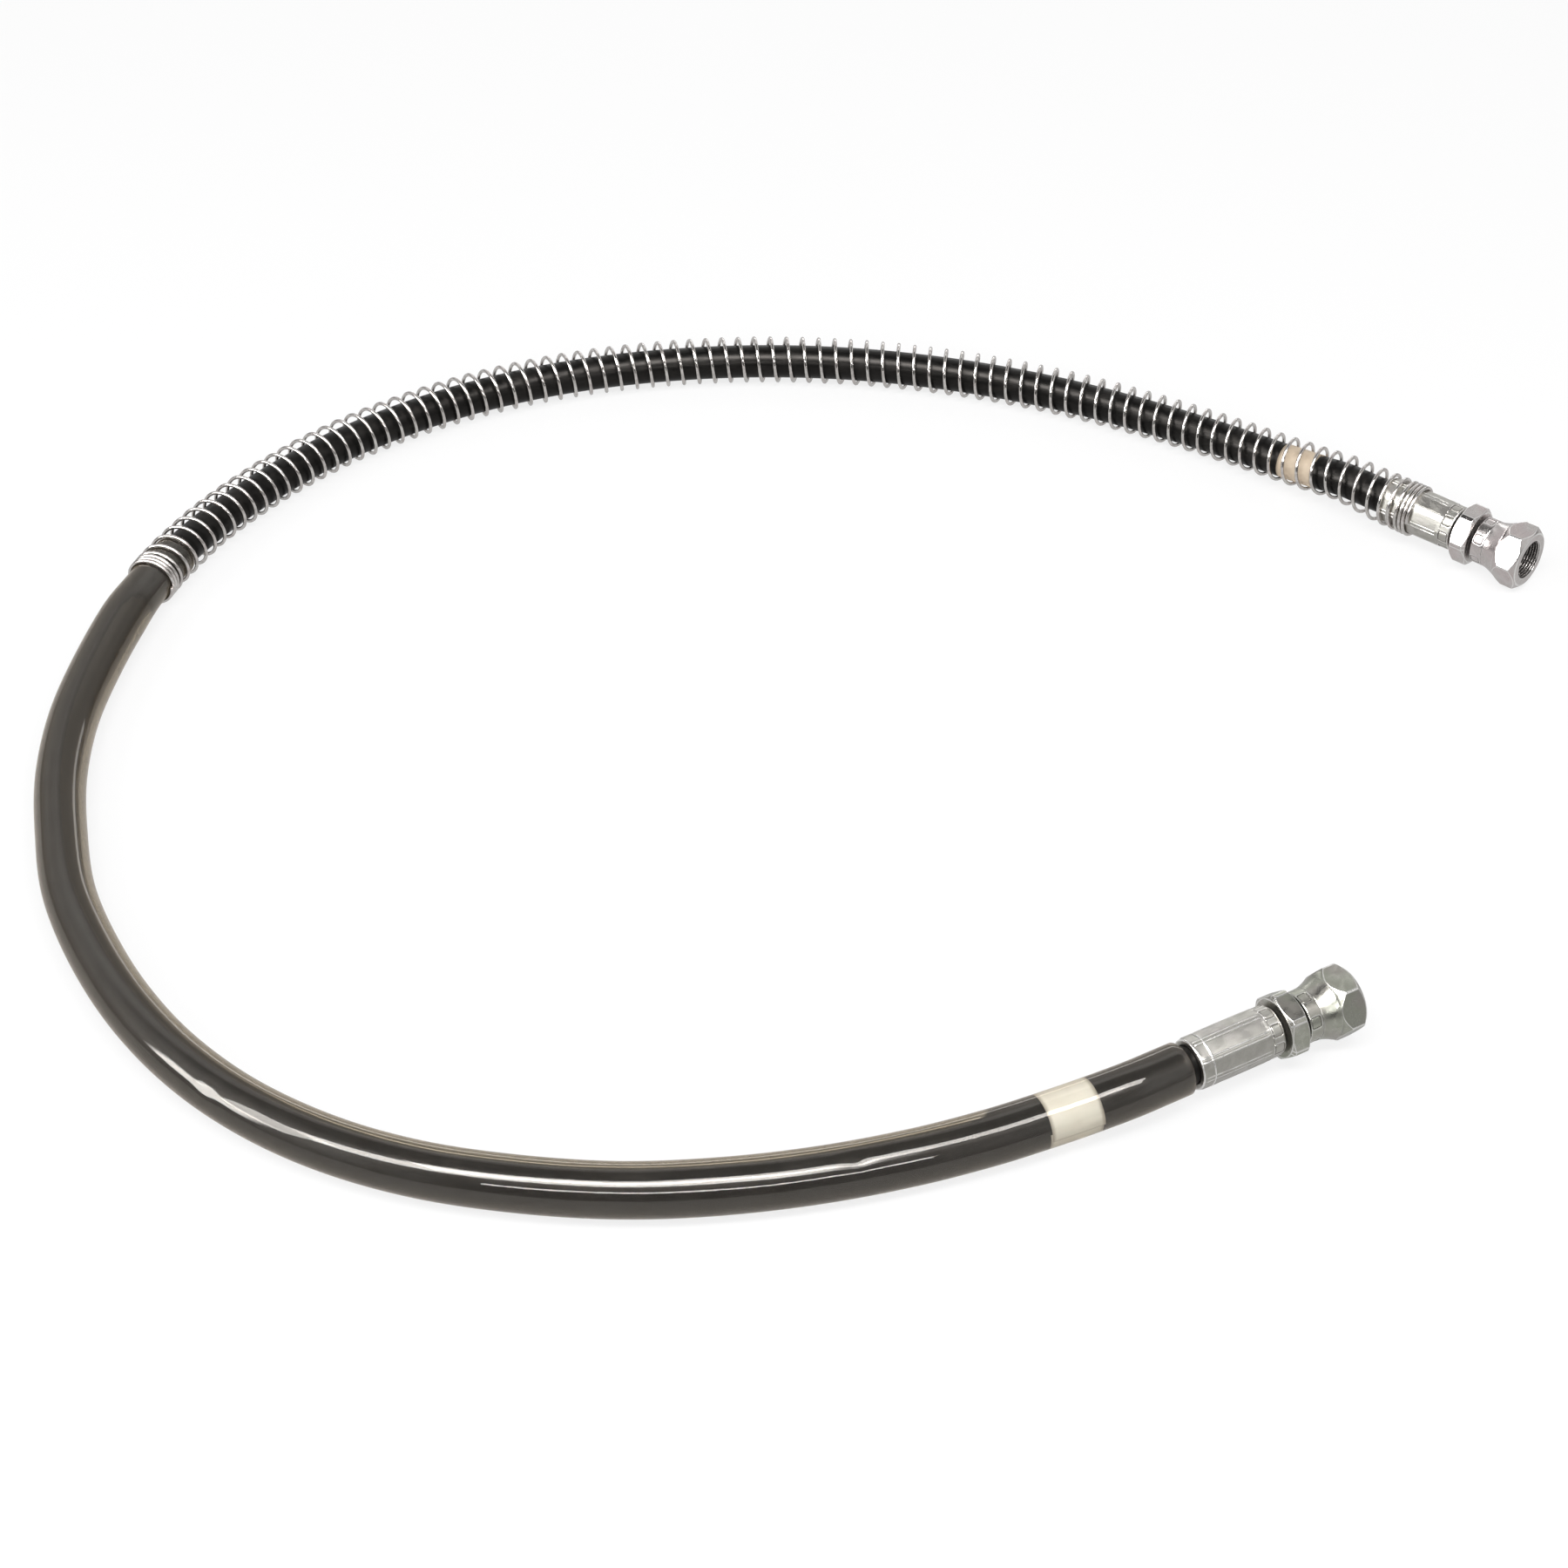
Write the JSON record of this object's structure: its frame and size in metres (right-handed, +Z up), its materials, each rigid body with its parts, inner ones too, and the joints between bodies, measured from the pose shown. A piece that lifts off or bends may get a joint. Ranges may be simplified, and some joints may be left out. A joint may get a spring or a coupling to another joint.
{
  "type": "hydraulic hose assembly",
  "caption": "Two-wire rubber hydraulic hose laid in a U, with a steel spring guard, a clear sleeve and crimped swivel-nut fittings that turn freely.",
  "frame": {"origin": "on the floor under the middle of the whole assembly's box, as it lies", "axes": "+Z up from the floor, +X towards the U's open side and the fittings, +Y towards the leg with the spring guard"},
  "size_m": [0.794, 0.6949, 0.0351],
  "materials": {
    "tube_rubber": "matte smooth rubber",
    "braid_wire": "brass-tinted drawn steel wire",
    "hose_rubber": "matte black, lightly wrapped rubber",
    "guard_wire": "bright drawn steel wire",
    "clear_vinyl": "clear smoky vinyl, glossy",
    "label_film": "cream film, satin",
    "ferrule_zinc": "satin zinc plate",
    "fitting_zinc": "bright zinc plate with a faint passivation tint",
    "seal_rubber": "smooth black nitrile rubber"
  },
  "bodies": {
    "root": {"inner_tube": "tube_rubber", "inner_wire_braid": "braid_wire", "rubber_interlayer": "tube_rubber", "outer_wire_braid": "braid_wire", "hose_cover": "hose_rubber", "spring_guard": "guard_wire", "clear_sleeve": "clear_vinyl", "label_band_guard_end": "label_film", "label_band_sleeve_end": "label_film", "ferrule_guard_end": "ferrule_zinc", "ferrule_sleeve_end": "ferrule_zinc", "stem_guard_end": "fitting_zinc", "stem_sleeve_end": "fitting_zinc", "seal_ring_guard_end": "seal_rubber", "seal_ring_sleeve_end": "seal_rubber"},
    "nut_guard_end": {"swivel_nut_guard_end": "fitting_zinc"},
    "nut_sleeve_end": {"swivel_nut_sleeve_end": "fitting_zinc"}
  },
  "joints": [
    {"name": "nut_swivel_guard_end", "type": "hinge", "parent": "root", "child": "nut_guard_end", "pos_m": [0.36807, 0.14301, 0.01837], "axis": [0.7672, -0.6414, 0], "continuous": true},
    {"name": "nut_swivel_sleeve_end", "type": "hinge", "parent": "root", "child": "nut_sleeve_end", "pos_m": [0.22299, -0.2297, 0.01837], "axis": [0.866, 0.5, 0], "continuous": true}
  ]
}
